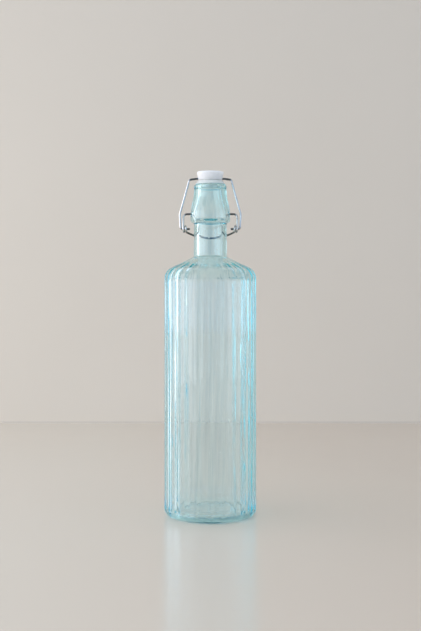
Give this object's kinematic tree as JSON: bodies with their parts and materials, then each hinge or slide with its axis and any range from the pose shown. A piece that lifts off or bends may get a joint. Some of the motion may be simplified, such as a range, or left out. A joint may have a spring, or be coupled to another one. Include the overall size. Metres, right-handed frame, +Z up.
{
  "type": "swing top glass bottle",
  "caption": "Tall fluted pale aqua glass bottle with a bulb finish, closed by a white stopper on a wire lever and bail closure.",
  "frame": {"origin": "centre of the base on the ground", "axes": "+Z up along the bottle's axis, -Y is the front, the lever's yoke is at the back (+Y), and the closure's hinge axes run along X"},
  "size_m": [0.0818, 0.082, 0.3047],
  "materials": {
    "aqua_glass": "clear, pale aqua, gloss",
    "bright_steel": "bright plated wire",
    "white_plastic": "white, satin gloss",
    "clear_silicone": "milky, satin"
  },
  "bodies": {
    "bottle": {"glass_body": "aqua_glass"},
    "lever": {"lever_wire": "bright_steel"},
    "bail": {"bail_wire": "bright_steel"},
    "stopper": {"stopper": "white_plastic", "gasket": "clear_silicone"}
  },
  "joints": [
    {"name": "lever_pivot", "type": "hinge", "parent": "bottle", "child": "lever", "pos_m": [0, 0, 0.26681], "axis": [1, 0, 0], "range_deg": [0, 104]},
    {"name": "bail_hook", "type": "hinge", "parent": "lever", "child": "bail", "pos_m": [0, -0.0018, 0.25341], "axis": [1, 0, 0], "range_deg": [-68, 0]},
    {"name": "stopper_swivel", "type": "hinge", "parent": "bail", "child": "stopper", "pos_m": [0, 0, 0.29821], "axis": [1, 0, 0], "range_deg": [-37, 0]}
  ],
  "couplings": [
    {"joint": "bail_hook", "follows": "lever_pivot", "ratio": -0.65},
    {"joint": "stopper_swivel", "follows": "lever_pivot", "ratio": -0.35}
  ]
}
